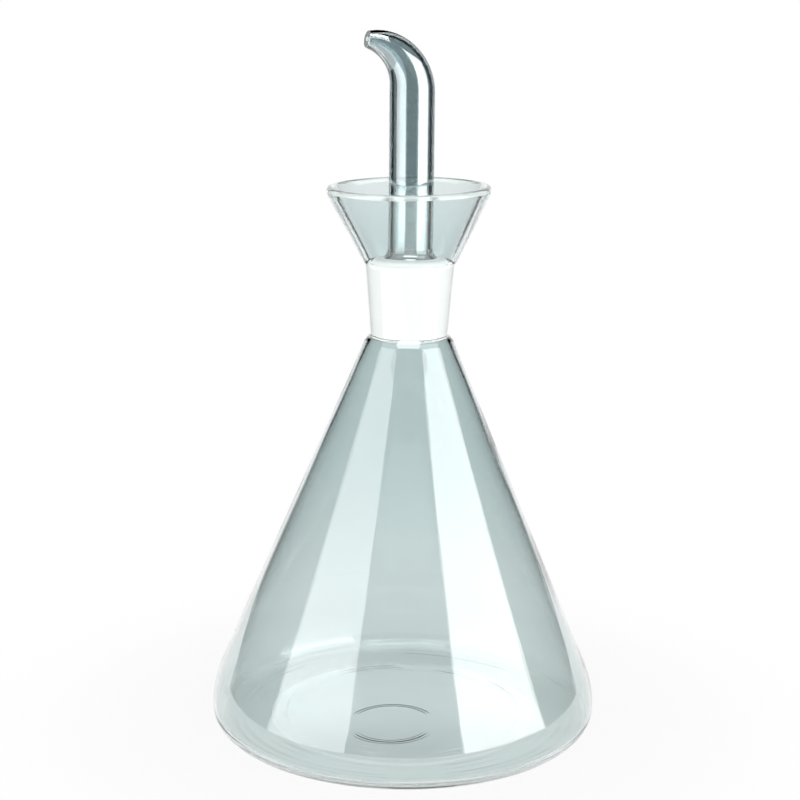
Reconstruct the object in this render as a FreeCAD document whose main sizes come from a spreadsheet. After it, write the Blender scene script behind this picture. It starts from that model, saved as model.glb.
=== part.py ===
"""Oil cruet in clear glass: a conical bottle with a drip-catching funnel collar, and a
hollow ground spout that stands loose in its neck.

Millimetres, +Z up. The origin is the centre of the foot, on the surface that the cruet
stands on. The spout's nozzle points along -X.
"""
import FreeCAD, Part
import math
import os

import Sketcher

Vector = FreeCAD.Vector
Placement = FreeCAD.Placement
Rotation = FreeCAD.Rotation

SIZES = {
    # bottle: foot and cone
    "body_radius": 60.0,          # widest point, just above the foot
    "heel_radius": 6.4,           # tight rounding from the foot up to the widest point
    "hip_radius": 28.0,           # easy rounding from there into the cone
    "cone_wall": 1.6,
    "floor_wall": 2.4,
    "punt_radius": 42.0,          # edge of the shallow dome pushed up under the foot
    "punt_rise": 2.2,
    "body_height": 120.3,         # foot to the ledge where the neck starts
    "ledge_width": 2.1,           # the ledge stands out this far round the neck
    "ledge_wall": 1.7,
    "ledge_round": 1.2,
    "ledge_root": 0.7,            # hollow corner between the ledge and the neck
    "throat_round": 1.4,          # the same place inside, where the neck opens into the cone
    "cone_top_round": 1.8,
    # bottle: neck with its ground joint
    "throat_length": 2.5,         # ledge to the lower end of the ground joint
    "joint_length": 22.0,
    "joint_top_radius": 11.5,
    "joint_taper": 0.073,         # radius lost for each millimetre down the joint
    "neck_wall": 2.1,
    # bottle: funnel collar
    "collar_height": 23.6,        # top of the joint to the top of the rim
    "collar_root_drop": 0.6,      # the outside flares this far below the joint's top
    "collar_root_blend": 5.0,
    "rim_radius": 24.8,
    "rim_bead_radius": 1.6,       # the fire-polished edge is a full round
    # spout: hollow stopper
    "joint_gap": 0.1,             # between the two ground faces
    "stopper_wall": 1.6,
    "stopper_end_round": 0.5,
    "head_height": 1.5,           # clear top of the stopper, above the joint
    "head_round": 1.3,
    "head_inside_round": 0.8,
    # spout: tube and nozzle
    "tube_radius": 6.8,
    "tube_wall": 1.4,
    "tube_root_blend": 3.0,       # hollow curve from the stopper's head into the tube
    "tube_mouth_blend": 3.2,      # the same curve inside
    "tube_length": 50.9,          # top of the joint to the start of the bend
    "bend_radius": 14.5,
    "bend_angle": 80.0,
    "tip_length": 2.3,            # straight end after the bend
    "tip_radius": 2.45,
    "tip_bore_radius": 0.65,
    "tip_round": 0.4,
    "taper_power": 1.5,           # 1 would be an even taper; more keeps the tube full for longer
}

NOZZLE_STATIONS = 8               # round sections from the start of the bend to its end
BORE_OVERRUN = 1.0                # how far the cutting shapes run past what they open
BLEND_MARGIN = 0.05               # flat left between two blends that share a narrow ring

START, END, CENTRE = 1, 2, 3      # point numbers on a sketch's line or arc
ORIGIN = (-1, START)              # the sketch's own origin
H_AXIS = -1
V_AXIS = -2

os.makedirs("parts", exist_ok=True)
doc = FreeCAD.newDocument("OilCruet")
sheet = doc.addObject("Spreadsheet::Sheet", "Sizes")
for row, (name, value) in enumerate(SIZES.items(), start=1):
    sheet.set(f"A{row}", name)
    sheet.set(f"B{row}", str(value))
    sheet.setAlias(f"B{row}", name)
doc.recompute()


def size(name):
    """Value of a named cell, for the first placing of a sketch's points."""
    return float(sheet.get(name))


# Heights and slopes that both pieces share: as formulas over the named cells, which bind
# the features, and as numbers, which place the sketches' points before they are solved.
JOINT_BASE = "(Sizes.body_height + Sizes.throat_length)"
JOINT_TOP = f"({JOINT_BASE} + Sizes.joint_length)"
RIM_TOP = f"({JOINT_TOP} + Sizes.collar_height)"
HEAD_TOP = f"({JOINT_TOP} + Sizes.head_height)"
BEND_START = f"({JOINT_TOP} + Sizes.tube_length)"
JOINT_BASE_RADIUS = "(Sizes.joint_top_radius - Sizes.joint_taper * Sizes.joint_length)"
THROAT_RADIUS = f"({JOINT_BASE_RADIUS} - Sizes.joint_taper * Sizes.throat_length)"
NECK_BASE_RADIUS = f"({THROAT_RADIUS} + Sizes.neck_wall)"

joint_base = size("body_height") + size("throat_length")
joint_top = joint_base + size("joint_length")
rim_top = joint_top + size("collar_height")
head_top = joint_top + size("head_height")
bend_start = joint_top + size("tube_length")
joint_taper = size("joint_taper")
joint_base_radius = size("joint_top_radius") - joint_taper * size("joint_length")
throat_radius = joint_base_radius - joint_taper * size("throat_length")


class Outline:
    """A closed chain of lines and arcs in an upright sketch, joined end to end as drawn."""

    def __init__(self, body, name):
        self.sketch = body.newObject("Sketcher::SketchObject", name)
        attach(self.sketch, body, "XZ_Plane")
        self.chain = []

    def line(self, start, end):
        geometry = Part.LineSegment(Vector(*start, 0), Vector(*end, 0))
        return self._join(self.sketch.addGeometry(geometry, False), START, END)

    def arc(self, centre, radius, first, last, backward=False):
        """Counter-clockwise from angle first to last; backward if the chain runs the other way."""
        circle = Part.Circle(Vector(*centre, 0), Vector(0, 0, 1), radius)
        number = self.sketch.addGeometry(Part.ArcOfCircle(circle, first, last), False)
        return self._join(number, END, START) if backward else self._join(number, START, END)

    def _join(self, number, entry, leave):
        self.chain.append((number, entry, leave))
        return number

    def close(self, smooth=()):
        """Join each run to the next, without a corner where both are in a pair of smooth."""
        for here, after in zip(self.chain, self.chain[1:] + self.chain[:1]):
            kind = "Tangent" if (here[0], after[0]) in smooth else "Coincident"
            self.sketch.addConstraint(Sketcher.Constraint(kind, here[0], here[2], after[0], after[1]))

    def place(self, number, point, across=None, up=None):
        """Fix a point's distance from the axis and its height, each by a formula."""
        where = self.sketch.getPoint(number, point)
        for kind, formula, value in (("DistanceX", across, where.x), ("DistanceY", up, where.y)):
            if formula == "0":
                axis = V_AXIS if kind == "DistanceX" else H_AXIS
                self.sketch.addConstraint(Sketcher.Constraint("PointOnObject", number, point, axis))
            elif formula is not None:
                self._bind(Sketcher.Constraint(kind, *ORIGIN, number, point, value), formula)

    def parallel(self, one, other):
        self.sketch.addConstraint(Sketcher.Constraint("Parallel", one, other))

    def radius(self, number, formula):
        value = self.sketch.Geometry[number].Radius
        self._bind(Sketcher.Constraint("Radius", number, value), formula)

    def _bind(self, constraint, formula):
        index = self.sketch.addConstraint(constraint)
        self.sketch.setExpression(f"Constraints[{index}]", formula)


def attach(sketch, body, role):
    """Lay a sketch on one of its body's origin planes."""
    plane = next(item for item in body.Origin.OriginFeatures if item.Role == role)
    sketch.AttachmentSupport = [(plane, "")]
    sketch.MapMode = "FlatFace"


def on_circle(centre, radius, angle):
    return (centre[0] + radius * math.cos(angle), centre[1] + radius * math.sin(angle))


def tangent_angle(centre, radius, point, side):
    """Angle where a line from point touches a circle; side +1 or -1 says which of the two."""
    across, up = point[0] - centre[0], point[1] - centre[1]
    return math.atan2(up, across) - side * math.acos(radius / math.hypot(across, up))


def revolve(body, kind, name, outline):
    """Turn an outline once round the upright axis, to add or to cut."""
    doc.recompute()
    feature = body.newObject(kind, name)
    feature.Profile = outline.sketch
    feature.ReferenceAxis = (outline.sketch, ["V_Axis"])
    feature.Angle = 360.0
    doc.recompute()


def blend(body, name, ring_centre, ring_radius, formula):
    """Round the ring-shaped edge that has this centre and radius."""
    base = body.Tip
    near = 0.02
    edges = []
    for index, edge in enumerate(base.Shape.Edges, start=1):
        if edge.Degenerated or abs(edge.Length - 2 * math.pi * ring_radius) > near:
            continue
        if (edge.CenterOfMass - Vector(*ring_centre)).Length < near:
            edges.append(f"Edge{index}")
    if len(edges) != 1:
        raise RuntimeError(f"{name}: {len(edges)} edges found, not one")
    fillet = body.newObject("PartDesign::Fillet", name)
    fillet.Base = (base, edges)
    fillet.setExpression("Radius", formula)
    doc.recompute()


def room_for(wanted, width, neighbour):
    """Radius of a blend that shares a narrow ring with a neighbour: as named, or what is left."""
    return f"min(Sizes.{wanted}; {width} - {neighbour} - {BLEND_MARGIN})"


def make_bottle():
    """One wall section, turned round the axis: domed foot, heel, cone, ledge, neck and collar."""
    body = doc.addObject("PartDesign::Body", "BottleBody")
    body.Label = "bottle"
    wall = Outline(body, "BottleWall")

    body_radius, heel_radius, hip_radius = size("body_radius"), size("heel_radius"), size("hip_radius")
    cone_wall, floor_wall = size("cone_wall"), size("floor_wall")
    punt_radius, punt_rise = size("punt_radius"), size("punt_rise")
    dome_radius = (punt_radius ** 2 + punt_rise ** 2) / (2 * punt_rise)
    dome_edge = math.atan2(dome_radius - punt_rise, punt_radius)
    heel_centre = (body_radius - heel_radius, heel_radius)
    heel_inside = heel_radius - floor_wall
    heel_inside_centre = (body_radius - cone_wall - heel_inside, heel_radius)
    hip_centre = (body_radius - hip_radius, heel_radius)

    neck_base = (throat_radius + size("neck_wall"), size("body_height"))
    ledge_corner = (neck_base[0] + size("ledge_width"), size("body_height"))
    hip_angle = tangent_angle(hip_centre, hip_radius, ledge_corner, 1)
    inside_height = size("body_height") - size("ledge_wall")
    cone_slope = math.tan(hip_angle)
    cone_top = (ledge_corner[0] + size("ledge_wall") * cone_slope - cone_wall / math.cos(hip_angle),
                inside_height)
    throat = (throat_radius - joint_taper * size("ledge_wall"), inside_height)
    collar_root = (size("joint_top_radius") + size("neck_wall") - joint_taper * size("collar_root_drop"),
                   joint_top - size("collar_root_drop"))
    socket_top = (size("joint_top_radius"), joint_top)
    bead_radius = size("rim_bead_radius")
    bead_centre = (size("rim_radius") - bead_radius, rim_top - bead_radius)
    bead_out = tangent_angle(bead_centre, bead_radius, collar_root, -1) % (2 * math.pi)
    bead_in = tangent_angle(bead_centre, bead_radius, socket_top, 1) % (2 * math.pi) + 2 * math.pi

    quarter = math.pi / 2
    under_dome = wall.arc((0, punt_rise - dome_radius), dome_radius, dome_edge, quarter, backward=True)
    foot = wall.line((punt_radius, 0), (heel_centre[0], 0))
    heel = wall.arc(heel_centre, heel_radius, -quarter, 0)
    hip = wall.arc(hip_centre, hip_radius, 0, hip_angle)
    cone = wall.line(on_circle(hip_centre, hip_radius, hip_angle), ledge_corner)
    ledge = wall.line(ledge_corner, neck_base)
    neck = wall.line(neck_base, collar_root)
    collar = wall.line(collar_root, on_circle(bead_centre, bead_radius, bead_out))
    rim = wall.arc(bead_centre, bead_radius, bead_out, bead_in)
    funnel = wall.line(on_circle(bead_centre, bead_radius, bead_in), socket_top)
    socket = wall.line(socket_top, throat)
    ledge_inside = wall.line(throat, cone_top)
    cone_inside = wall.line(cone_top, on_circle(hip_centre, hip_radius - cone_wall, hip_angle))
    hip_inside = wall.arc(hip_centre, hip_radius - cone_wall, 0, hip_angle, backward=True)
    heel_turn = wall.arc(heel_inside_centre, heel_inside, -quarter, 0, backward=True)
    floor = wall.line((heel_inside_centre[0], floor_wall), (punt_radius, floor_wall))
    floor_dome = wall.arc((0, floor_wall + punt_rise - dome_radius), dome_radius, dome_edge, quarter)
    wall.line((0, floor_wall + punt_rise), (0, punt_rise))
    wall.close(smooth={(foot, heel), (heel, hip), (hip, cone), (collar, rim), (rim, funnel),
                       (cone_inside, hip_inside), (hip_inside, heel_turn), (heel_turn, floor)})

    # foot with its shallow dome, and the floor above it
    wall.place(under_dome, CENTRE, across="0")
    wall.place(under_dome, END, across="0", up="Sizes.punt_rise")
    wall.place(foot, START, across="Sizes.punt_radius", up="0")
    wall.place(foot, END, across="Sizes.body_radius - Sizes.heel_radius", up="0")
    wall.place(floor, START, up="Sizes.floor_wall",
               across="Sizes.body_radius - Sizes.cone_wall - Sizes.heel_radius + Sizes.floor_wall")
    wall.place(floor, END, across="Sizes.punt_radius", up="Sizes.floor_wall")
    wall.place(floor_dome, CENTRE, across="0")
    wall.place(floor_dome, END, across="0", up="Sizes.punt_rise + Sizes.floor_wall")
    # heel, hip and cone, outside and inside
    wall.place(heel, END, across="Sizes.body_radius", up="Sizes.heel_radius")
    wall.radius(hip, "Sizes.hip_radius")
    wall.place(cone, END, across=f"{NECK_BASE_RADIUS} + Sizes.ledge_width", up="Sizes.body_height")
    wall.place(heel_turn, END, across="Sizes.body_radius - Sizes.cone_wall", up="Sizes.heel_radius")
    wall.radius(hip_inside, "Sizes.hip_radius - Sizes.cone_wall")
    wall.parallel(cone, cone_inside)
    # ledge, neck and ground socket
    wall.place(neck, START, across=NECK_BASE_RADIUS, up="Sizes.body_height")
    wall.place(neck, END, up=f"{JOINT_TOP} - Sizes.collar_root_drop",
               across="Sizes.joint_top_radius - Sizes.joint_taper * Sizes.collar_root_drop + Sizes.neck_wall")
    wall.place(socket, START, across="Sizes.joint_top_radius", up=JOINT_TOP)
    wall.place(socket, END, across=f"{THROAT_RADIUS} - Sizes.joint_taper * Sizes.ledge_wall",
               up="Sizes.body_height - Sizes.ledge_wall")
    wall.place(ledge_inside, END, up="Sizes.body_height - Sizes.ledge_wall")
    # collar and its rounded rim
    wall.place(rim, CENTRE, across="Sizes.rim_radius - Sizes.rim_bead_radius",
               up=f"{RIM_TOP} - Sizes.rim_bead_radius")
    wall.radius(rim, "Sizes.rim_bead_radius")

    revolve(body, "PartDesign::Revolution", "BottleTurned", wall)
    for name, (radius, height), formula in (
            ("LedgeCorner", ledge_corner, "Sizes.ledge_round"),
            ("LedgeRoot", neck_base, room_for("ledge_root", "Sizes.ledge_width", "Sizes.ledge_round")),
            ("ConeTop", cone_top, "Sizes.cone_top_round"),
            ("Throat", throat, "Sizes.throat_round"),
            ("CollarRoot", collar_root, "Sizes.collar_root_blend")):
        blend(body, name, (0, 0, height), radius, formula)
    return body, wall.sketch


def nozzle_section(body, name, bend_share, run_out, full_radius, end_radius):
    """One round section of the nozzle, square to its curved middle line.

    bend_share is how far round the bend it sits, from 0 to 1, and run_out how far past it.
    """
    sketch = body.newObject("Sketcher::SketchObject", name)
    attach(sketch, body, "XY_Plane")
    turn = f"(Sizes.bend_angle * {bend_share})"
    bend_length = "(Sizes.bend_radius * Sizes.bend_angle * pi / 180)"
    share = f"(({bend_length} * {bend_share} + {run_out}) / ({bend_length} + Sizes.tip_length))"
    circle = Part.Circle(Vector(0, 0, 0), Vector(0, 0, 1), size("tube_radius"))
    sketch.addGeometry(circle, False)
    sketch.addConstraint(Sketcher.Constraint("Coincident", 0, CENTRE, *ORIGIN))
    sketch.addConstraint(Sketcher.Constraint("Radius", 0, size("tube_radius")))
    sketch.setExpression("Constraints[1]",
                         f"{full_radius} - ({full_radius} - {end_radius}) * {share} ^ Sizes.taper_power")
    sketch.AttachmentOffset = Placement(Vector(0, 0, 0), Rotation(Vector(0, 1, 0), -1))
    sketch.setExpression("AttachmentOffset.Rotation.Angle", f"-1 deg * {turn}")
    sketch.setExpression("AttachmentOffset.Base.x",
                         f"-Sizes.bend_radius * (1 - cos({turn})) - {run_out} * sin({turn})")
    sketch.setExpression("AttachmentOffset.Base.z",
                         f"{BEND_START} + Sizes.bend_radius * sin({turn}) + {run_out} * cos({turn})")
    return sketch


def nozzle(body, kind, name, full_radius, end_radius, end_runs):
    """A smooth skin through round sections along the bend, to add the nozzle or bore it."""
    sections = []
    for station in range(NOZZLE_STATIONS + 1):
        share = station / NOZZLE_STATIONS
        sections.append(nozzle_section(body, f"{name}Bend{station}", share, "0", full_radius, end_radius))
    for number, run_out in enumerate(end_runs):
        sections.append(nozzle_section(body, f"{name}End{number}", 1, run_out, full_radius, end_radius))
    doc.recompute()
    feature = body.newObject(kind, name)
    feature.Profile = sections[0]
    feature.Sections = sections[1:]
    feature.Ruled = False
    doc.recompute()
    return sections


def make_spout():
    """Hollow ground stopper, tube and bent nozzle in one piece, open from end to end."""
    body = doc.addObject("PartDesign::Body", "SpoutBody")
    body.Label = "spout"
    base_radius = joint_base_radius - size("joint_gap")
    top_radius = size("joint_top_radius") - size("joint_gap")
    tube_radius = size("tube_radius")

    outside = Outline(body, "SpoutOutline")
    outside.line((0, joint_base), (base_radius, joint_base))
    ground = outside.line((base_radius, joint_base), (top_radius, joint_top))
    head = outside.line((top_radius, joint_top), (top_radius, head_top))
    shelf = outside.line((top_radius, head_top), (tube_radius, head_top))
    tube = outside.line((tube_radius, head_top), (tube_radius, bend_start))
    top = outside.line((tube_radius, bend_start), (0, bend_start))
    outside.line((0, bend_start), (0, joint_base))
    outside.close()
    outside.place(ground, START, across=f"{JOINT_BASE_RADIUS} - Sizes.joint_gap", up=JOINT_BASE)
    outside.place(head, START, across="Sizes.joint_top_radius - Sizes.joint_gap", up=JOINT_TOP)
    outside.place(head, END, across="Sizes.joint_top_radius - Sizes.joint_gap", up=HEAD_TOP)
    outside.place(shelf, END, across="Sizes.tube_radius", up=HEAD_TOP)
    outside.place(tube, END, across="Sizes.tube_radius", up=BEND_START)
    outside.place(top, END, across="0", up=BEND_START)
    outside.place(0, START, across="0", up=JOINT_BASE)
    revolve(body, "PartDesign::Revolution", "SpoutTurned", outside)
    sections = nozzle(body, "PartDesign::AdditiveLoft", "Nozzle",
                      "Sizes.tube_radius", "Sizes.tip_radius", ["Sizes.tip_length"])
    tip_centre = sections[-1].Placement.Base
    blend(body, "StopperEnd", (0, 0, joint_base), base_radius, "Sizes.stopper_end_round")
    blend(body, "HeadCorner", (0, 0, head_top), top_radius, "Sizes.head_round")
    blend(body, "TubeRoot", (0, 0, head_top), tube_radius,
          room_for("tube_root_blend", "(Sizes.joint_top_radius - Sizes.joint_gap - Sizes.tube_radius)",
                   "Sizes.head_round"))
    blend(body, "TipCorner", tuple(tip_centre), size("tip_radius"), "Sizes.tip_round")

    stopper_wall = size("stopper_wall")
    bore_radius = tube_radius - size("tube_wall")
    inside_top = head_top - stopper_wall
    low_radius = base_radius - stopper_wall - joint_taper * BORE_OVERRUN
    high_radius = top_radius - stopper_wall - joint_taper * (joint_top - inside_top)
    inside = Outline(body, "SpoutBore")
    inside.line((0, joint_base - BORE_OVERRUN), (low_radius, joint_base - BORE_OVERRUN))
    cone = inside.line((low_radius, joint_base - BORE_OVERRUN), (high_radius, inside_top))
    ceiling = inside.line((high_radius, inside_top), (bore_radius, inside_top))
    bore = inside.line((bore_radius, inside_top), (bore_radius, bend_start))
    inside.line((bore_radius, bend_start), (0, bend_start))
    shaft = inside.line((0, bend_start), (0, joint_base - BORE_OVERRUN))
    inside.close()
    inside_base = f"({JOINT_BASE_RADIUS} - Sizes.joint_gap - Sizes.stopper_wall)"
    inside_head = "(Sizes.joint_length + Sizes.head_height - Sizes.stopper_wall)"
    inside_high = f"({inside_base} + Sizes.joint_taper * {inside_head})"
    inside.place(cone, START, across=f"{inside_base} - Sizes.joint_taper * {BORE_OVERRUN}",
                 up=f"{JOINT_BASE} - {BORE_OVERRUN}")
    inside.place(cone, END, across=inside_high, up=f"{HEAD_TOP} - Sizes.stopper_wall")
    inside.place(ceiling, END, across="Sizes.tube_radius - Sizes.tube_wall",
                 up=f"{HEAD_TOP} - Sizes.stopper_wall")
    inside.place(bore, END, across="Sizes.tube_radius - Sizes.tube_wall", up=BEND_START)
    inside.place(shaft, START, across="0", up=BEND_START)
    inside.place(shaft, END, across="0", up=f"{JOINT_BASE} - {BORE_OVERRUN}")
    revolve(body, "PartDesign::Groove", "SpoutHollow", inside)
    nozzle(body, "PartDesign::SubtractiveLoft", "NozzleBore",
           "(Sizes.tube_radius - Sizes.tube_wall)", "Sizes.tip_bore_radius",
           ["Sizes.tip_length", f"(Sizes.tip_length + {BORE_OVERRUN})"])
    blend(body, "HeadInside", (0, 0, inside_top), high_radius, "Sizes.head_inside_round")
    blend(body, "TubeMouth", (0, 0, inside_top), bore_radius,
          room_for("tube_mouth_blend", f"({inside_high} - Sizes.tube_radius + Sizes.tube_wall)",
                   "Sizes.head_inside_round"))
    return body, outside.sketch, inside.sketch


def check_document(bodies, sketches):
    """Stop with a plain message if anything in the document failed or a sketch is loose."""
    doc.recompute()
    for item in doc.Objects:
        if "Invalid" in item.State or "Error" in item.State:
            raise RuntimeError(f"{item.Label} failed: {item.State}")
    for sketch in sketches:
        if sketch.solve() != 0 or not sketch.FullyConstrained:
            raise RuntimeError(f"{sketch.Label} isn't fully set out")
    for body in bodies:
        shape = body.Shape
        if shape.isNull() or not shape.isValid() or len(shape.Solids) != 1:
            raise RuntimeError(f"{body.Label} isn't one sound solid")


bottle, *bottle_sketches = make_bottle()
spout, *spout_sketches = make_spout()
check_document([bottle, spout], bottle_sketches + spout_sketches)
for body in (bottle, spout):
    body.Shape.exportStep(f"parts/{body.Label}.step")
    print(body.Label, f"{body.Shape.Volume:.0f} mm3,", f"{len(body.Shape.Faces)} faces")
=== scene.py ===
import math

import bpy
from mathutils import Matrix, Vector, noise


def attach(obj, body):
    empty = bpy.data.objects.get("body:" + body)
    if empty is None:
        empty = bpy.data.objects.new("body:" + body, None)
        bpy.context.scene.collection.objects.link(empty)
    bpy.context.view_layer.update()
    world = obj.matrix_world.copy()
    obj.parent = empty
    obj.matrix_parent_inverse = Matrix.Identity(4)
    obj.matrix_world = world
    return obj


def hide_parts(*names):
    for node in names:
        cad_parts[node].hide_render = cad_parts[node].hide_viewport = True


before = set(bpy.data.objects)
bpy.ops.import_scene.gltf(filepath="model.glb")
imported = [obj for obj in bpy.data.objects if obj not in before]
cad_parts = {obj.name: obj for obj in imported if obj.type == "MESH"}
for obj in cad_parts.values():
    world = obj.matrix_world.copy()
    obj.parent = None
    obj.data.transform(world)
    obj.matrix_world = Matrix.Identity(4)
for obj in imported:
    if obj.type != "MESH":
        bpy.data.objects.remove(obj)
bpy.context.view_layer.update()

scene = bpy.context.scene

# ---------------------------------------------------------------------------
# The camera. It stands half a metre off, turned twenty degrees round the cruet
# so that the nozzle points left and a little forward, and looks slightly down.
# ---------------------------------------------------------------------------
CAMERA_TURN = math.radians(-20)
CAMERA_DISTANCE = 0.5
CAMERA_HEIGHT = 0.20795
CAMERA_PITCH = math.radians(11.91)
CAMERA_ROLL = math.radians(0.45)
CAMERA_SIDESTEP = -0.0016  # how far the line of sight passes beside the axis
SENSOR_WIDTH = 36    # millimetres, and so is the length of the lens
LENS_LENGTH = 75.16
NEAREST_SEEN = 0.02

sight = Vector((-math.sin(CAMERA_TURN), math.cos(CAMERA_TURN), 0))
to_right = Vector((math.cos(CAMERA_TURN), math.sin(CAMERA_TURN), 0))

lens = bpy.data.cameras.new("camera")
lens.sensor_width = SENSOR_WIDTH
lens.lens = LENS_LENGTH
lens.clip_start = NEAREST_SEEN
camera = bpy.data.objects.new("camera", lens)
scene.collection.objects.link(camera)
camera.location = (
    -sight * CAMERA_DISTANCE
    + to_right * CAMERA_SIDESTEP
    + Vector((0, 0, CAMERA_HEIGHT))
)
camera.rotation_mode = "QUATERNION"
level = Matrix((to_right, Vector((0, 0, 1)), -sight)).transposed()
camera.rotation_quaternion = (
    level.to_quaternion()
    @ Matrix.Rotation(-CAMERA_PITCH, 3, "X").to_quaternion()
    @ Matrix.Rotation(CAMERA_ROLL, 3, "Z").to_quaternion()
)
scene.camera = camera
scene.view_settings.view_transform = "Standard"

# ---------------------------------------------------------------------------
# The table. A wide pale sheet the cruet stands on: it runs to white for the
# eye, and keeps a little of the soft shadow that the glass throws.
# ---------------------------------------------------------------------------
TABLE_SIZE = 0.7
TABLE_SHADE = 0.9
TABLE_DROP = 0.0001  # the sheet lies a hair below the foot, so no two faces coincide
SHADOW_KEPT = 0.2    # share of the sheet's own shading that shows near the foot
SHADOW_FADE = (0.055, 0.15)  # how far out that share begins to fade, and where it is gone


def socket_of(node, name):
    """The input of a node by its place or name. Of several with one name, the one in use."""
    if isinstance(name, int):
        return node.inputs[name]
    return next(entry for entry in node.inputs if entry.name == name and entry.enabled)


def node_bench(owner):
    """Clears the node tree of a material, world or group.

    Returns two short tools: one adds a node, one joins an output to an input.
    """
    if hasattr(owner, "use_nodes"):
        owner.use_nodes = True
    tree = getattr(owner, "node_tree", owner)
    tree.nodes.clear()

    def add(kind, values=None, **settings):
        node = tree.nodes.new(kind)
        for name, value in settings.items():
            setattr(node, name, value)
        for name, value in (values or {}).items():
            socket_of(node, name).default_value = value
        return node

    def join(output, entry):
        tree.links.new(output, entry)

    return add, join


half = TABLE_SIZE / 2
table_mesh = bpy.data.meshes.new("table")
table_mesh.from_pydata(
    [(-half, -half, 0), (half, -half, 0), (half, half, 0), (-half, half, 0)],
    [],
    [(0, 1, 2, 3)],
)
table = bpy.data.objects.new("table", table_mesh)
scene.collection.objects.link(table)
table.location.z = -TABLE_DROP

table_paint = bpy.data.materials.new("table_paint")
add, join = node_bench(table_paint)
matt = add("ShaderNodeBsdfDiffuse", {"Color": (TABLE_SHADE,) * 3 + (1,)})
white = add("ShaderNodeEmission", {"Color": (1, 1, 1, 1)})
path = add("ShaderNodeLightPath")
to_eye = add("ShaderNodeMath", operation="MAXIMUM")
seen = add("ShaderNodeMath", operation="MAXIMUM")
place = add("ShaderNodeTexCoord")
away = add("ShaderNodeVectorMath", operation="LENGTH")
fade = add(
    "ShaderNodeMapRange",
    {
        "From Min": SHADOW_FADE[0],
        "From Max": SHADOW_FADE[1],
        "To Min": 1 - SHADOW_KEPT,
        "To Max": 1.0,
    },
    interpolation_type="SMOOTHSTEP",
)
share = add("ShaderNodeMath", operation="MULTIPLY")
blend = add("ShaderNodeMixShader")
out = add("ShaderNodeOutputMaterial")
join(path.outputs["Is Glossy Ray"], to_eye.inputs[0])
join(path.outputs["Is Transmission Ray"], to_eye.inputs[1])
join(to_eye.outputs[0], seen.inputs[0])
join(path.outputs["Is Camera Ray"], seen.inputs[1])
join(place.outputs["Object"], away.inputs[0])
join(away.outputs["Value"], fade.inputs["Value"])
join(fade.outputs[0], share.inputs[1])
join(seen.outputs[0], share.inputs[0])
join(share.outputs[0], blend.inputs["Fac"])
join(matt.outputs[0], blend.inputs[1])
join(white.outputs[0], blend.inputs[2])
join(blend.outputs[0], out.inputs["Surface"])
table_mesh.materials.append(table_paint)

# ---------------------------------------------------------------------------
# The studio. Two tall soft boxes stand either side of the camera, the right
# one brighter, and a small one hangs above and in front. All that is seen past
# or through the glass is white. In what it mirrors, the room's sides are dark.
# ---------------------------------------------------------------------------
ROOM_LEVEL = 0.4
DARK_SIDE_LEVEL = 0.0
FAR_WALL_EDGES = (0.83, 0.91)  # cosines of the turn away from straight ahead
MIRRORED = 0.5  # a ray mirrored at least once has a glossy depth above this
BOX_DISTANCE = 0.9
BOX_BOTTOM = -0.4
BOX_TOP = 0.76
HANGING_HEIGHT = 0.9
HANGING_FORWARD = 0.43

room = bpy.data.worlds.new("room")
scene.world = room
add, join = node_bench(room)
path = add("ShaderNodeLightPath")
to_eye = add("ShaderNodeMath", operation="MAXIMUM")
to_white = add("ShaderNodeMath", operation="MAXIMUM")
place = add("ShaderNodeTexCoord")
ahead = add("ShaderNodeVectorMath", {1: sight}, operation="DOT_PRODUCT")
far_wall = add(
    "ShaderNodeMapRange",
    {"From Min": FAR_WALL_EDGES[0], "From Max": FAR_WALL_EDGES[1]},
    interpolation_type="SMOOTHSTEP",
)
mirrored = add("ShaderNodeMath", {1: MIRRORED}, operation="GREATER_THAN")
sides = add("ShaderNodeMapRange", {"To Min": DARK_SIDE_LEVEL, "To Max": 1.0})
wall = add("ShaderNodeMix", {"A": 1.0}, data_type="FLOAT")
level = add("ShaderNodeMix", {"A": ROOM_LEVEL}, data_type="FLOAT")
glow = add("ShaderNodeBackground", {"Color": (1, 1, 1, 1)})
out = add("ShaderNodeOutputWorld")
join(path.outputs["Is Glossy Ray"], to_eye.inputs[0])
join(path.outputs["Is Transmission Ray"], to_eye.inputs[1])
join(to_eye.outputs[0], to_white.inputs[0])
join(path.outputs["Is Camera Ray"], to_white.inputs[1])
join(place.outputs["Generated"], ahead.inputs[0])
join(ahead.outputs["Value"], far_wall.inputs["Value"])
join(far_wall.outputs[0], sides.inputs["Value"])
join(path.outputs["Glossy Depth"], mirrored.inputs[0])
join(mirrored.outputs[0], socket_of(wall, "Factor"))
join(sides.outputs[0], socket_of(wall, "B"))
join(to_white.outputs[0], socket_of(level, "Factor"))
join(wall.outputs[0], socket_of(level, "B"))
join(level.outputs[0], glow.inputs["Strength"])
join(glow.outputs[0], out.inputs["Surface"])


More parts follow.
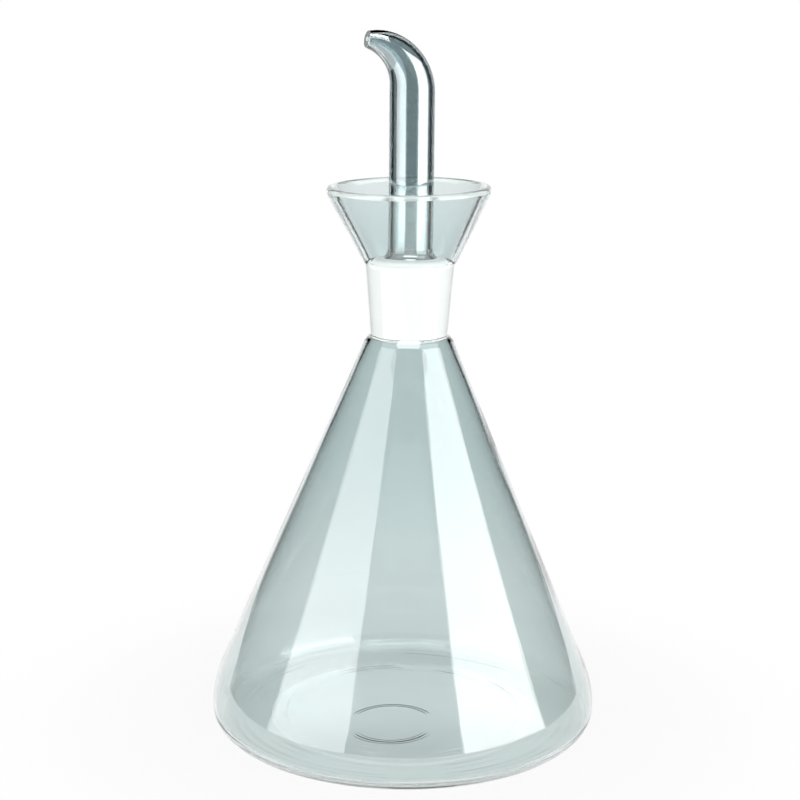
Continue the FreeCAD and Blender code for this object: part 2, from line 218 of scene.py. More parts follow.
def hang_cloth(name, corners, cloth_level):
    """The cloth of a soft box, which the glass mirrors.

    Seen straight through the glass it is as white as the wall.
    """
    cloth_mesh = bpy.data.meshes.new(name)
    cloth_mesh.from_pydata(corners, [], [(0, 1, 2, 3)])
    cloth = bpy.data.objects.new(name, cloth_mesh)
    scene.collection.objects.link(cloth)
    cloth.visible_camera = cloth.visible_diffuse = cloth.visible_shadow = False

    weave = bpy.data.materials.new(name)
    add, join = node_bench(weave)
    path = add("ShaderNodeLightPath")
    mirrored = add("ShaderNodeMath", {1: MIRRORED}, operation="GREATER_THAN")
    level = add("ShaderNodeMapRange", {"To Min": 1.0, "To Max": cloth_level})
    glow = add("ShaderNodeEmission", {"Color": (1, 1, 1, 1)})
    out = add("ShaderNodeOutputMaterial")
    join(path.outputs["Glossy Depth"], mirrored.inputs[0])
    join(mirrored.outputs[0], level.inputs["Value"])
    join(level.outputs[0], glow.inputs["Strength"])
    join(glow.outputs[0], out.inputs["Surface"])
    weave.cycles.emission_sampling = "NONE"
    cloth_mesh.materials.append(weave)


def soft_box(name, place, outward, width, height, light, cloth_level):
    """A soft box facing the cruet: a lamp for matt surfaces and a cloth for the glass to mirror."""
    lamp = bpy.data.lights.new(name, "AREA")
    lamp.shape = "RECTANGLE"
    lamp.size = width
    lamp.size_y = height
    lamp.energy = light * math.pi * width * height
    box = bpy.data.objects.new(name, lamp)
    scene.collection.objects.link(box)
    box.location = place
    box.rotation_euler = outward.to_track_quat("Z", "Y").to_euler()
    box.visible_camera = box.visible_glossy = box.visible_transmission = False

    turn = box.rotation_euler.to_matrix()
    across = turn @ Vector((width / 2, 0, 0))
    rise = turn @ Vector((0, height / 2, 0))
    corners = (
        place - across - rise,
        place + across - rise,
        place + across + rise,
        place - across + rise,
    )
    hang_cloth(name + "_cloth", corners, cloth_level)


def standing_box(name, left_edge, right_edge, light, cloth_level):
    """A tall soft box that stands to one side. Its edges are turns from the camera."""
    middle = math.radians((left_edge + right_edge) / 2) + CAMERA_TURN
    width = 2 * BOX_DISTANCE * math.tan(math.radians(right_edge - left_edge) / 2)
    outward = Vector((math.sin(middle), -math.cos(middle), 0))
    place = outward * BOX_DISTANCE + Vector((0, 0, (BOX_BOTTOM + BOX_TOP) / 2))
    soft_box(name, place, outward, width, BOX_TOP - BOX_BOTTOM, light, cloth_level)


standing_box("soft_box_left", -82, -32, light=3.2, cloth_level=2.5)
standing_box("soft_box_right", 34, 88, light=3.4, cloth_level=4.6)
above = Vector((0, 0, HANGING_HEIGHT)) - HANGING_FORWARD * sight
soft_box(
    "soft_box_above", above, above.normalized(), width=0.7, height=0.4, light=1.2, cloth_level=7.0
)

# ---------------------------------------------------------------------------
# The bottle. A hand-blown cone of clear glass with a rounded heel and a pushed
# up base, drawn in to a short neck that is ground inside, and flared above it
# into a thin funnel collar whose lip is melted to a bead.
# ---------------------------------------------------------------------------
MM = 0.001  # the sizes of the pieces are in millimetres
BODY_RADIUS = 60.0
HEEL_RADIUS = 6.4
HIP_RADIUS = 28.0
CONE_WALL = 1.6
FLOOR_WALL = 2.4
PUNT_RADIUS = 42.0
PUNT_RISE = 2.2
FOOT_RING = 50.0   # a point on the flat ring that the bottle stands on
FOOT_FILLET = 8.0
INSIDE_HEIGHT = 121.9
NECK_BASE = (11.813, 123.2)
SHOULDER = (13.614, 121.0)
SHOULDER_FILLET = 4.0
NECK_FILLET = 1.0
SOCKET_TOP = (11.5, 144.8)
SOCKET_TAPER = 0.073
SOCKET_LENGTH = 22.0
SOCKET_FILLET = 0.5
THROAT_FILLET = 0.8
COLLAR_ROOT = (13.556, 144.2)
COLLAR_FILLET = 5.0
BEAD_CENTRE = (23.45, 167.1)
BEAD_RADIUS = 1.3
NECK_LEAN = 1.1
NECK_LEAN_RISE = (5, 150)  # the heights between which the lean sets in
TUBE_LEAN = 1.3
TUBE_LEAN_RISE = (140, 175)
WALL_WAVE = 0.12
WAVE_STRETCH = 0.05      # the wave is drawn out along the height
WAVE_BEGINS = (20, 60)   # along the floor and up the wall
WAVE_FADES = (112, 122)
RIM_START = 147.0        # the rim's drop, tip and shift all grow from this height
RIM_DROP = 0.6
RIM_TIP_BACK = 0.04      # rise of the back of the rim, as a share of its radius
RIM_TIP_RIGHT = 0.011
RIM_LEFT = 0.7
FLOOR_TOP = 24.0         # inside, the floor's glass reaches up to here
WORN_RADIUS = 41.0       # the foot is worn outside this radius
WORN_TOP = 1.2
LONGEST_RUN = 1.5        # fineness of the mesh along the wall and round it
TURNS = 192
GLASS, GROUND, LIP, COLLAR, FOOT, FLOOR = range(6)  # the finishes, in order


def arc(centre, radius, start, end, steps):
    """Points on a circle from one bearing to another, in degrees."""
    points = []
    for k in range(steps + 1):
        a = math.radians(start + (end - start) * k / steps)
        points.append(
            (centre[0] + radius * math.cos(a), centre[1] + radius * math.sin(a))
        )
    return points


def bearing(point, centre):
    """The direction of a point from a centre, in degrees."""
    return math.degrees(math.atan2(point[1] - centre[1], point[0] - centre[0]))


def touch(point, centre, radius, side):
    """Where the line from a point grazes a circle. side picks one of the two."""
    reach = math.dist(point, centre)
    a = math.radians(bearing(point, centre)) + side * math.acos(radius / reach)
    return centre[0] + radius * math.cos(a), centre[1] + radius * math.sin(a)


def rounded(before, corner, after, radius, steps=6):
    """Points round the corner between two straight runs."""
    corner = Vector(corner)
    one = (Vector(before) - corner).normalized()
    other = (Vector(after) - corner).normalized()
    opening = one.angle(other)
    reach = radius / math.tan(opening / 2)
    centre = corner + (one + other).normalized() * radius / math.sin(opening / 2)
    start = bearing(corner + one * reach, centre)
    turn = (bearing(corner + other * reach, centre) - start + 180) % 360 - 180
    return arc(centre, radius, start, start + turn, steps)


def divided(points, step):
    """The same line with its long runs cut into pieces no longer than step."""
    line = [points[0]]
    for p, q in zip(points, points[1:]):
        pieces = max(1, math.ceil(math.dist(p, q) / step))
        line += [
            (p[0] + (q[0] - p[0]) * k / pieces, p[1] + (q[1] - p[1]) * k / pieces)
            for k in range(1, pieces + 1)
        ]
    return line


def eased(low, high, value):
    """Rises from 0 at low to 1 at high with no corner at either end."""
    t = min(1, max(0, (value - low) / (high - low)))
    return t * t * (3 - 2 * t)


def leaning(x, y, z):
    """Where a point stands on the finished piece, in metres.

    The neck is a millimetre off the middle of the base, and the tube a little more.
    """
    lean = NECK_LEAN * eased(*NECK_LEAN_RISE, z)
    lean += (TUBE_LEAN - NECK_LEAN) * eased(*TUBE_LEAN_RISE, z)
    return (x + lean * to_right.x) * MM, (y + lean * to_right.y) * MM, z * MM


def skin(name, hoops, finish_of, finishes):
    """One closed mesh over a list of hoops of points.

    finish_of holds the finish number of the band that follows each hoop. A hoop of one
    point is a pole; with no poles, the last hoop joins the first.
    """
    points, first = [], []
    for hoop in hoops:
        first.append(len(points))
        points += hoop
    bands = [(k, k + 1) for k in range(len(hoops) - 1)]
    if len(hoops[0]) > 1:
        bands.append((len(hoops) - 1, 0))
    faces, marks = [], []
    for i, j in bands:
        count = max(len(hoops[i]), len(hoops[j]))
        for k in range(count):
            n = (k + 1) % count
            if len(hoops[i]) == 1:
                face = (first[i], first[j] + n, first[j] + k)
            elif len(hoops[j]) == 1:
                face = (first[i] + k, first[i] + n, first[j])
            else:
                face = (first[i] + k, first[i] + n, first[j] + n, first[j] + k)
            faces.append(face)
            marks.append(finish_of[i])
    mesh = bpy.data.meshes.new(name)
    mesh.from_pydata(points, [], faces)
    mesh.polygons.foreach_set("use_smooth", [True] * len(faces))
    mesh.polygons.foreach_set("material_index", marks)
    for finish in finishes:
        mesh.materials.append(finish)
    piece = bpy.data.objects.new(name, mesh)
    scene.collection.objects.link(piece)
    return piece


# Glass. Its grey-green tint, with painted shade: the colour changes with height, darker up the cone
# and along the tube, standing in for the darker surroundings seen through the glass.
tint_and_shade = bpy.data.node_groups.new("glass_tint_and_shade", "ShaderNodeTree")
for name in ("Low", "High"):
    tint_and_shade.interface.new_socket(name, in_out="INPUT", socket_type="NodeSocketColor")
for name in ("From", "To"):
    tint_and_shade.interface.new_socket(name, in_out="INPUT", socket_type="NodeSocketFloat")
tint_and_shade.interface.new_socket("Color", in_out="OUTPUT", socket_type="NodeSocketColor")
add, join = node_bench(tint_and_shade)
given = add("NodeGroupInput")
place = add("ShaderNodeTexCoord")
split = add("ShaderNodeSeparateXYZ")
climb = add("ShaderNodeMapRange", interpolation_type="SMOOTHSTEP")
pick = add("ShaderNodeMix", data_type="RGBA")
out = add("NodeGroupOutput")
join(place.outputs["Object"], split.inputs[0])
join(split.outputs["Z"], climb.inputs["Value"])
join(given.outputs["From"], climb.inputs["From Min"])
join(given.outputs["To"], climb.inputs["From Max"])
join(climb.outputs[0], socket_of(pick, "Factor"))
join(given.outputs["Low"], socket_of(pick, "A"))
join(given.outputs["High"], socket_of(pick, "B"))
join(pick.outputs[2], out.inputs["Color"])

# Hand work. Soft unevenness left in a wall that was turned and blown by hand,
# fine rings in patches on the floor and the collar, and the mark left under the
# base by the two jaws that held it. Heights and radii are in metres.
HELD_AT = -0.0035 * to_right - 0.0145 * sight  # middle of the jaws' mark
HELD_RING = (0.0118, 0.0142)   # its inner and outer radius
HELD_BELOW = (0.0026, 0.0032)  # it shows on the underside only
RING_FINENESS = 450.0
FLOOR_RINGS_BELOW = (0.003, 0.0045)
FLOOR_RINGS_BEYOND = (0.031, 0.037)
COLLAR_RINGS_ABOVE = (0.147, 0.152)


def ramp(add, ends, start=0.0, end=1.0):
    """A node that goes from start to end between two values."""
    return add(
        "ShaderNodeMapRange",
        {"From Min": ends[0], "From Max": ends[1], "To Min": start, "To Max": end},
    )


hand_work = bpy.data.node_groups.new("hand_work", "ShaderNodeTree")
for name in ("Scale", "Stretch", "Turned"):
    hand_work.interface.new_socket(name, in_out="INPUT", socket_type="NodeSocketFloat")
hand_work.interface.new_socket("Height", in_out="OUTPUT", socket_type="NodeSocketFloat")
add, join = node_bench(hand_work)
given = add("NodeGroupInput")
place = add("ShaderNodeTexCoord")
stretch = add("ShaderNodeCombineXYZ", {"X": 1, "Y": 1})
scaled = add("ShaderNodeVectorMath", operation="MULTIPLY")
wander = add("ShaderNodeTexNoise", {"Detail": 1.0, "Roughness": 0.4})
flat = add("ShaderNodeVectorMath", {1: (1, 1, 0)}, operation="MULTIPLY")
radius = add("ShaderNodeVectorMath", operation="LENGTH")
split = add("ShaderNodeSeparateXYZ")
along = add("ShaderNodeMath", {1: 2.0}, operation="MULTIPLY_ADD")
rings = add("ShaderNodeTexNoise", {"Scale": RING_FINENESS, "Detail": 1.0}, noise_dimensions="1D")
low_part = ramp(add, FLOOR_RINGS_BELOW, 1.0, 0.0)
high_part = ramp(add, COLLAR_RINGS_ABOVE)
parts = add("ShaderNodeMath", operation="ADD")
patch = add("ShaderNodeTexNoise", {"Scale": 45.0, "Detail": 0.0})
patchy = ramp(add, (0.36, 0.58))
turned = add("ShaderNodeMath", operation="MULTIPLY")
masked = add("ShaderNodeMath", operation="MULTIPLY")
marks = add("ShaderNodeMath", operation="MULTIPLY")
off_middle = add("ShaderNodeVectorMath", {1: HELD_AT}, operation="SUBTRACT")
off_flat = add("ShaderNodeVectorMath", {1: (1, 1, 0)}, operation="MULTIPLY")
reach = add("ShaderNodeVectorMath", operation="LENGTH")
wave = ramp(add, HELD_RING, end=4 * math.pi)
ripple = add("ShaderNodeMath", operation="SINE")
under_side = ramp(add, HELD_BELOW, 1.0, 0.0)
outer_floor = ramp(add, FLOOR_RINGS_BEYOND)
low_rings = add("ShaderNodeMath", operation="MULTIPLY")
ring = add("ShaderNodeMath", operation="MULTIPLY")
ahead = add("ShaderNodeVectorMath", {1: sight}, operation="DOT_PRODUCT")
facing = add("ShaderNodeMath", operation="DIVIDE")
either = add("ShaderNodeMath", operation="ABSOLUTE")
jaws = ramp(add, (0.35, 0.85), end=0.6)
ring_depth = add("ShaderNodeMath", operation="MULTIPLY")
sum_marks = add("ShaderNodeMath", operation="ADD")
total = add("ShaderNodeMath", operation="ADD")
out = add("NodeGroupOutput")
join(given.outputs["Stretch"], stretch.inputs["Z"])
join(place.outputs["Object"], scaled.inputs[0])
join(stretch.outputs[0], scaled.inputs[1])
join(scaled.outputs[0], wander.inputs["Vector"])
join(given.outputs["Scale"], wander.inputs["Scale"])
join(place.outputs["Object"], flat.inputs[0])
join(flat.outputs[0], radius.inputs[0])
join(place.outputs["Object"], split.inputs[0])
join(split.outputs["Z"], along.inputs[0])
join(radius.outputs["Value"], along.inputs[2])
join(along.outputs[0], rings.inputs["W"])
join(split.outputs["Z"], low_part.inputs["Value"])
join(split.outputs["Z"], high_part.inputs["Value"])
join(radius.outputs["Value"], outer_floor.inputs["Value"])
join(low_part.outputs[0], low_rings.inputs[0])
join(outer_floor.outputs[0], low_rings.inputs[1])
join(low_rings.outputs[0], parts.inputs[0])
join(split.outputs["Z"], under_side.inputs["Value"])
join(high_part.outputs[0], parts.inputs[1])
join(place.outputs["Object"], patch.inputs["Vector"])
join(patch.outputs[0], patchy.inputs["Value"])
join(rings.outputs[0], turned.inputs[0])
join(given.outputs["Turned"], turned.inputs[1])
join(turned.outputs[0], masked.inputs[0])
join(patchy.outputs[0], masked.inputs[1])
join(masked.outputs[0], marks.inputs[0])
join(parts.outputs[0], marks.inputs[1])
join(place.outputs["Object"], off_middle.inputs[0])
join(off_middle.outputs[0], off_flat.inputs[0])
join(off_flat.outputs[0], reach.inputs[0])
join(reach.outputs["Value"], wave.inputs["Value"])
join(wave.outputs[0], ripple.inputs[0])
join(ripple.outputs[0], ring.inputs[0])
join(under_side.outputs[0], ring.inputs[1])
join(ring.outputs[0], ring_depth.inputs[0])
join(off_flat.outputs[0], ahead.inputs[0])
join(ahead.outputs["Value"], facing.inputs[0])
join(reach.outputs["Value"], facing.inputs[1])
join(facing.outputs[0], either.inputs[0])
join(either.outputs[0], jaws.inputs["Value"])
join(jaws.outputs[0], ring_depth.inputs[1])
join(marks.outputs[0], sum_marks.inputs[0])
join(ring_depth.outputs[0], sum_marks.inputs[1])
join(wander.outputs[0], total.inputs[0])
join(sum_marks.outputs[0], total.inputs[1])
join(total.outputs[0], out.inputs["Height"])

# Grinding. The fine grey-white grain and faint rings that the abrasive leaves.
grinding = bpy.data.node_groups.new("grinding", "ShaderNodeTree")
for name in ("Pale", "Worn"):
    grinding.interface.new_socket(name, in_out="INPUT", socket_type="NodeSocketColor")
for name, kind in (("Color", "Color"), ("Roughness", "Float"), ("Height", "Float")):
    grinding.interface.new_socket(name, in_out="OUTPUT", socket_type="NodeSocket" + kind)
add, join = node_bench(grinding)
given = add("NodeGroupInput")
place = add("ShaderNodeTexCoord")
rings = add("ShaderNodeVectorMath", {1: (40, 40, 900)}, operation="MULTIPLY")
streaks = add("ShaderNodeTexNoise", {"Scale": 1.0, "Detail": 2.0})
grain = add("ShaderNodeTexNoise", {"Scale": 3000.0, "Detail": 2.0})
both = add("ShaderNodeMath", {1: 0.5}, operation="MULTIPLY_ADD")
worn = add("ShaderNodeMix", data_type="RGBA")
rough = add("ShaderNodeMapRange", {"To Min": 0.7, "To Max": 1.0})
out = add("NodeGroupOutput")
join(place.outputs["Object"], rings.inputs[0])
join(rings.outputs[0], streaks.inputs["Vector"])
join(place.outputs["Object"], grain.inputs["Vector"])
join(streaks.outputs[0], both.inputs[0])
join(grain.outputs[0], both.inputs[2])
join(streaks.outputs[0], socket_of(worn, "Factor"))
join(given.outputs["Pale"], socket_of(worn, "A"))
join(given.outputs["Worn"], socket_of(worn, "B"))
join(grain.outputs[0], rough.inputs["Value"])
join(worn.outputs[2], out.inputs["Color"])
join(rough.outputs[0], out.inputs["Roughness"])
join(both.outputs[0], out.inputs["Height"])


def clear_glass(
    name, low, high, span, painted_edge_shade=0.0, sparkle=0.0, coat_ior=1.85, rings=0.0,
    unevenness=0.0001, lamp_tint=(0.99, 0.99, 0.99, 1), clearness=1.0, roughness=0.0, ior=1.47,
):
    """Clear glass whose colour goes from low to high over a span of heights: a tint, deepened in
    places by painted shade.

    Painted edge shade darkens the colour where the glass is seen edge on, and sparkle is the
    strength of its polish. Lamps and matt surfaces are reached straight through it.
    """
    glass = bpy.data.materials.new(name)
    add, join = node_bench(glass)
    tone = add("ShaderNodeGroup", node_tree=tint_and_shade)
    for entry, value in zip(("Low", "High", "From", "To"), (low, high, *span)):
        tone.inputs[entry].default_value = value
    uneven = add("ShaderNodeGroup", node_tree=hand_work)
    uneven.inputs["Scale"].default_value = 60.0
    uneven.inputs["Stretch"].default_value = 0.5
    uneven.inputs["Turned"].default_value = rings
    bump = add("ShaderNodeBump", {"Strength": 1.0, "Distance": unevenness})
    body = add(
        "ShaderNodeBsdfPrincipled",
        {
            "Roughness": roughness,
            "IOR": ior,
            "Transmission Weight": clearness,
            "Coat Weight": sparkle,
            "Coat Roughness": 0.0,
            "Coat IOR": coat_ior,
        },
    )
    # Painted shade: the colour is mixed towards black where the surface turns edge on to the eye.
    turned = add("ShaderNodeLayerWeight", {"Blend": 0.5})
    edge = ramp(add, (0.22, 0.75), end=painted_edge_shade)
    deepened = add("ShaderNodeMix", {"B": (0, 0, 0, 1)}, data_type="RGBA")
    clear = add("ShaderNodeBsdfTransparent", {"Color": lamp_tint})
    path = add("ShaderNodeLightPath")
    lit = add("ShaderNodeMath", operation="MAXIMUM")
    blend = add("ShaderNodeMixShader")
    out = add("ShaderNodeOutputMaterial")
    join(turned.outputs["Facing"], edge.inputs["Value"])
    join(edge.outputs[0], socket_of(deepened, "Factor"))
    join(tone.outputs[0], socket_of(deepened, "A"))
    join(deepened.outputs[2], body.inputs["Base Color"])
    join(uneven.outputs[0], bump.inputs["Height"])
    join(bump.outputs[0], body.inputs["Normal"])
    join(path.outputs["Is Shadow Ray"], lit.inputs[0])
    join(path.outputs["Is Diffuse Ray"], lit.inputs[1])
    join(lit.outputs[0], blend.inputs["Fac"])
    join(body.outputs[0], blend.inputs[1])
    join(clear.outputs[0], blend.inputs[2])
    join(blend.outputs[0], out.inputs["Surface"])
    return glass


def ground_glass(name, pale, worn):
    """Glass ground matt with abrasive, white with scattered light."""
    ground = bpy.data.materials.new(name)
    add, join = node_bench(ground)
    marks = add("ShaderNodeGroup", node_tree=grinding)
    marks.inputs["Pale"].default_value = pale
    marks.inputs["Worn"].default_value = worn
    bump = add("ShaderNodeBump", {"Strength": 0.3, "Distance": 0.00004})
    body = add("ShaderNodeBsdfPrincipled", {"IOR": 1.47})
    out = add("ShaderNodeOutputMaterial")
    join(marks.outputs["Color"], body.inputs["Base Color"])
    join(marks.outputs["Roughness"], body.inputs["Roughness"])
    join(marks.outputs["Height"], bump.inputs["Height"])
    join(bump.outputs[0], body.inputs["Normal"])
    join(body.outputs[0], out.inputs["Surface"])
    return ground


# Painted shade: the tint darkens up the cone, and in the collar it is darker towards the neck,
# standing in for the darker surroundings seen through the glass.
bottle_glass = clear_glass(
    "bottle_glass", (0.83, 0.893, 0.888, 1), (0.71, 0.79, 0.79, 1), (0.02, 0.1),
    painted_edge_shade=0.08, sparkle=0.2,
)
collar_glass = clear_glass(
    "collar_glass", (0.75, 0.832, 0.836, 1), (0.82, 0.89, 0.89, 1), (0.145, 0.168),
    painted_edge_shade=0.1, sparkle=0.5, rings=1.0, ior=1.13,
)
floor_glass = clear_glass(
    "floor_glass", (0.8, 0.87, 0.865, 1), (0.71, 0.79, 0.79, 1), (0.02, 0.1),
    painted_edge_shade=0.08, sparkle=0.2, rings=4.0,
)
worn_foot = clear_glass(
    "worn_foot", (0.84, 0.9, 0.89, 1), (0.88, 0.94, 0.93, 1), (0.0, 0.0012),
    clearness=0.4, roughness=0.3,
)
melted_lip = clear_glass(
    "melted_lip", (0.89, 0.95, 0.925, 1), (0.82, 0.89, 0.88, 1), (0.165, 0.212),
    clearness=0.68,
)
ground_socket = ground_glass("ground_socket", (0.94, 0.93, 0.915, 1), (0.88, 0.88, 0.87, 1))

hip_centre = (BODY_RADIUS - HIP_RADIUS, HEEL_RADIUS)
hip_end = touch(SHOULDER, hip_centre, HIP_RADIUS, -1)
hip_turn = bearing(hip_end, hip_centre)
inside_hip_end = arc(hip_centre, HIP_RADIUS - CONE_WALL, hip_turn, hip_turn, steps=1)[0]
lip_outside = touch(COLLAR_ROOT, BEAD_CENTRE, BEAD_RADIUS, 1)
lip_inside = touch(SOCKET_TOP, BEAD_CENTRE, BEAD_RADIUS, -1)
slope = math.tan(math.radians(hip_turn))
throat = (
    SOCKET_TOP[0] - SOCKET_TAPER * (SOCKET_TOP[1] - INSIDE_HEIGHT),
    INSIDE_HEIGHT,
)
cone_top = (
    SHOULDER[0] + (SHOULDER[1] - INSIDE_HEIGHT) * slope
    - CONE_WALL / math.cos(math.radians(hip_turn)),
    INSIDE_HEIGHT,
)
dome_radius = (PUNT_RADIUS**2 + PUNT_RISE**2) / (2 * PUNT_RISE)
dome_turn = math.degrees(math.acos(PUNT_RADIUS / dome_radius))
dome_centre = (0, PUNT_RISE - dome_radius)
under_dome = arc(dome_centre, dome_radius, 90, dome_turn, steps=70)
floor_dome = [(r, z + FLOOR_WALL) for r, z in reversed(under_dome)]
heel_inside = HEEL_RADIUS - FLOOR_WALL
heel_inside_centre = (BODY_RADIUS - CONE_WALL - heel_inside, HEEL_RADIUS)
bead_start = bearing(lip_outside, BEAD_CENTRE)
bead_end = bearing(lip_inside, BEAD_CENTRE) % 360

outside = divided(
    under_dome[:-3]
    + rounded(under_dome[-4], under_dome[-1], (FOOT_RING, 0), FOOT_FILLET)
    + arc((BODY_RADIUS - HEEL_RADIUS, HEEL_RADIUS), HEEL_RADIUS, -90, 0, steps=14)
    + arc(hip_centre, HIP_RADIUS, 0, hip_turn, steps=14)[1:]
    + rounded(hip_end, SHOULDER, NECK_BASE, SHOULDER_FILLET)
    + rounded(SHOULDER, NECK_BASE, COLLAR_ROOT, NECK_FILLET)
    + rounded(NECK_BASE, COLLAR_ROOT, lip_outside, COLLAR_FILLET, steps=8)
    + [lip_outside],
    LONGEST_RUN,
)
lip = arc(BEAD_CENTRE, BEAD_RADIUS, bead_start, bead_end, steps=20)[1:]
inside = divided(
    [lip[-1]]
    + rounded(lip_inside, SOCKET_TOP, throat, SOCKET_FILLET)
    + rounded(SOCKET_TOP, throat, cone_top, SOCKET_FILLET)
    + rounded(throat, cone_top, inside_hip_end, THROAT_FILLET)
    + arc(hip_centre, HIP_RADIUS - CONE_WALL, hip_turn, 0, steps=14)
    + arc(heel_inside_centre, heel_inside, 0, -90, steps=14)[1:]
    + rounded((FOOT_RING, FLOOR_WALL), floor_dome[0], floor_dome[3], FOOT_FILLET)
    + floor_dome[3:],
    LONGEST_RUN,
)[1:]
outline = outside + lip + inside
wall_side = [1] * (len(outside) + len(lip)) + [-1] * len(inside)
ground_top = SOCKET_TOP[1] + 0.2
ground_end = SOCKET_TOP[1] - SOCKET_LENGTH


def blown(r, z, a, side):
    """One point of the bottle, with the unevenness of its making. side is 1 outside, -1 inside."""
    x, y = math.cos(a), math.sin(a)
    drift = noise.noise(Vector((x, y, z * WAVE_STRETCH + 7 * side))) + 1
    r -= side * WALL_WAVE * drift * eased(*WAVE_BEGINS, r + z) * (1 - eased(*WAVE_FADES, z))
    back = r * (x * sight.x + y * sight.y)
    right = r * (x * to_right.x + y * to_right.y)
    tip = RIM_TIP_BACK * back + RIM_TIP_RIGHT * right - RIM_DROP
    up = eased(RIM_START, BEAD_CENTRE[1], z)
    left = -RIM_LEFT * up * to_right
    return leaning(r * x + left.x, r * y + left.y, z + tip * up)


def bottle_finish(p, q, side):
    """The finish of the band from one point of the outline to the next."""
    if p in lip and p[0] > BEAD_CENTRE[0] - 0.3 and p[1] > BEAD_CENTRE[1] - 0.2:
        return LIP
    in_joint = ground_end - 0.2 <= (p[1] + q[1]) / 2 <= ground_top
    if side < 0 and in_joint and p[0] < SOCKET_TOP[0] + 0.3:
        return GROUND
    if p[1] > ground_top:
        return COLLAR
    if side < 0 and p[1] < FLOOR_TOP:
        return FLOOR
    if side > 0 and p[0] > WORN_RADIUS and p[1] < WORN_TOP:
        return FOOT
    return GLASS


hoops = []
for (r, z), side in zip(outline, wall_side):
    if r < 1e-6:
        hoops.append([leaning(0, 0, z)])
    else:
        hoops.append([blown(r, z, 2 * math.pi * k / TURNS, side) for k in range(TURNS)])

next_points = outline[1:] + outline[:1]
finish = [bottle_finish(p, q, side) for p, q, side in zip(outline, next_points, wall_side)]
bottle = skin(
    "bottle_blown",
    hoops,
    finish,
    (bottle_glass, ground_socket, melted_lip, collar_glass, worn_foot, floor_glass),
)
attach(bottle, "root")
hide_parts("bottle")

# ---------------------------------------------------------------------------
# The spout. A hollow stopper ground to fit the socket, drawn out in one piece
# into a glass tube that bends over and tapers to a fine pouring nozzle.
# ---------------------------------------------------------------------------
JOINT_GAP = 0.1
STOPPER_WALL = 1.6
HEAD_TOP = 146.3
TUBE_RADIUS = 6.8
BORE_RADIUS = 5.4
BEND_START = 195.7
BEND_RADIUS = 14.5
BEND_ANGLE = math.radians(80)
TIP_LENGTH = 2.3
TIP_RADIUS = 2.45
TIP_BORE = 0.65
TAPER_POWER = 1.5
NOZZLE_STEPS = 48
STOPPER_FILLET = 0.5
HEAD_FILLET = 1.3
ROOT_FILLET = 3.2
CEILING_FILLET = 0.8
TIP_OUTER_FILLET = 0.4
TIP_INNER_FILLET = 0.3
GROUND_OUTSIDE = 8.6  # the top of the head is ground from its edge in to this radius
SPOUT_RUN = 1.2
SPOUT_TURNS = 96

bend_length = BEND_RADIUS * BEND_ANGLE
nozzle_length = bend_length + TIP_LENGTH
nozzle_end = BEND_START + nozzle_length


def nozzle_radius(along, full, fine):
    """Radius at a length along the nozzle, slow to shrink at first."""
    share = min(1, max(0, (along - BEND_START) / nozzle_length))
    return full - (full - fine) * share**TAPER_POWER


def drawn_hoop(r, along):
    """A hoop of the spout, square to its middle line.

    The line is straight up to the bend and then turns over to the left.
    """
    past = max(0, along - BEND_START)
    turn = min(past / BEND_RADIUS, BEND_ANGLE)
    straight = max(0, past - bend_length)
    cx = -BEND_RADIUS * (1 - math.cos(turn)) - straight * math.sin(turn)
    cz = min(along, BEND_START) + BEND_RADIUS * math.sin(turn) + straight * math.cos(turn)
    hoop = []
    for k in range(SPOUT_TURNS):
        a = 2 * math.pi * k / SPOUT_TURNS
        u = r * math.cos(a)
        hoop.append(leaning(cx + u * math.cos(turn), r * math.sin(a), cz + u * math.sin(turn)))
    return hoop


stopper_top = SOCKET_TOP[0] - JOINT_GAP
stopper_foot = (stopper_top - SOCKET_TAPER * SOCKET_LENGTH, ground_end)
stopper_shoulder = (stopper_top, SOCKET_TOP[1])
ceiling = HEAD_TOP - STOPPER_WALL
inner_foot = (stopper_foot[0] - STOPPER_WALL, ground_end)
inner_top = (stopper_top - STOPPER_WALL, ceiling)
nozzle_steps = [
    BEND_START + nozzle_length * k / NOZZLE_STEPS for k in range(NOZZLE_STEPS + 1)
]
head_edge = (stopper_top, HEAD_TOP)
tube_root = (TUBE_RADIUS, HEAD_TOP)
bore_root = (BORE_RADIUS, ceiling)

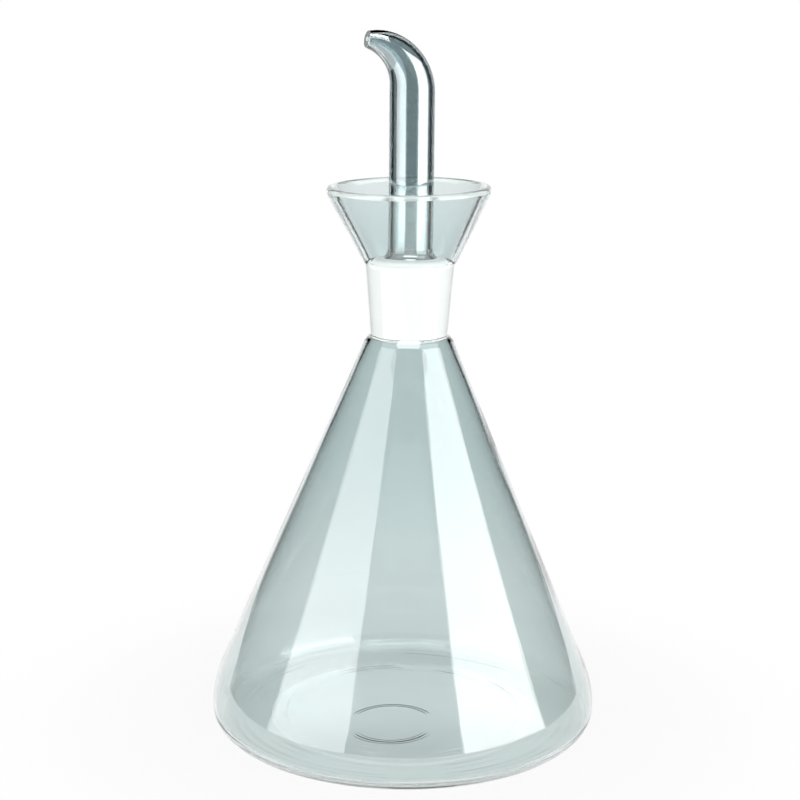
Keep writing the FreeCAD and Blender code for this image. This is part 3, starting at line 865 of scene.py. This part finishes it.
outer_line = divided(
    rounded(inner_foot, stopper_foot, stopper_shoulder, STOPPER_FILLET)
    + [stopper_shoulder]
    + rounded(stopper_shoulder, head_edge, tube_root, HEAD_FILLET)
    + rounded(head_edge, tube_root, (TUBE_RADIUS, BEND_START), ROOT_FILLET, steps=10)
    + [(nozzle_radius(s, TUBE_RADIUS, TIP_RADIUS), s) for s in nozzle_steps[:-1]],
    SPOUT_RUN,
)
tip_outside = (TIP_RADIUS, nozzle_end)
tip_inside = (TIP_BORE, nozzle_end)
tip = (
    rounded(outer_line[-1], tip_outside, tip_inside, TIP_OUTER_FILLET)
    + rounded(tip_outside, tip_inside, (TIP_BORE, BEND_START), TIP_INNER_FILLET)
)
inner_line = divided(
    [(nozzle_radius(s, BORE_RADIUS, TIP_BORE), s) for s in reversed(nozzle_steps[:-1])]
    + rounded((BORE_RADIUS, BEND_START), bore_root, inner_top, ROOT_FILLET, steps=10)
    + rounded(bore_root, inner_top, inner_foot, CEILING_FILLET)
    + rounded(inner_top, inner_foot, stopper_foot, STOPPER_FILLET),
    SPOUT_RUN,
)
drawn_line = outer_line + tip + inner_line


def spout_finish(k, p, q):
    """The finish of the band after point k. The joint and the head are ground matt."""
    if p in tip:
        return LIP
    in_joint = ground_end + 0.3 <= (p[1] + q[1]) / 2 < BEND_START
    if k < len(outer_line) and in_joint and p[0] > GROUND_OUTSIDE:
        return GROUND
    return GLASS


next_points = drawn_line[1:] + drawn_line[:1]
finish = [spout_finish(k, p, q) for k, (p, q) in enumerate(zip(drawn_line, next_points))]
# Painted shade: the tube is coloured much darker than the stopper, standing in for the grey
# surroundings seen through it.
spout_glass = clear_glass(
    "spout_glass", (0.88, 0.92, 0.92, 1), (0.52, 0.604, 0.622, 1), (0.16, 0.172),
    sparkle=1.0, coat_ior=2.1, unevenness=0.00003, lamp_tint=(0.97, 0.98, 0.98, 1),
)
ground_stopper = ground_glass("ground_stopper", (0.94, 0.93, 0.915, 1), (0.88, 0.88, 0.87, 1))
spout = skin(
    "spout_drawn",
    [drawn_hoop(r, along) for r, along in drawn_line],
    finish,
    (spout_glass, ground_stopper, melted_lip),
)
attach(spout, "root")
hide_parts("spout")
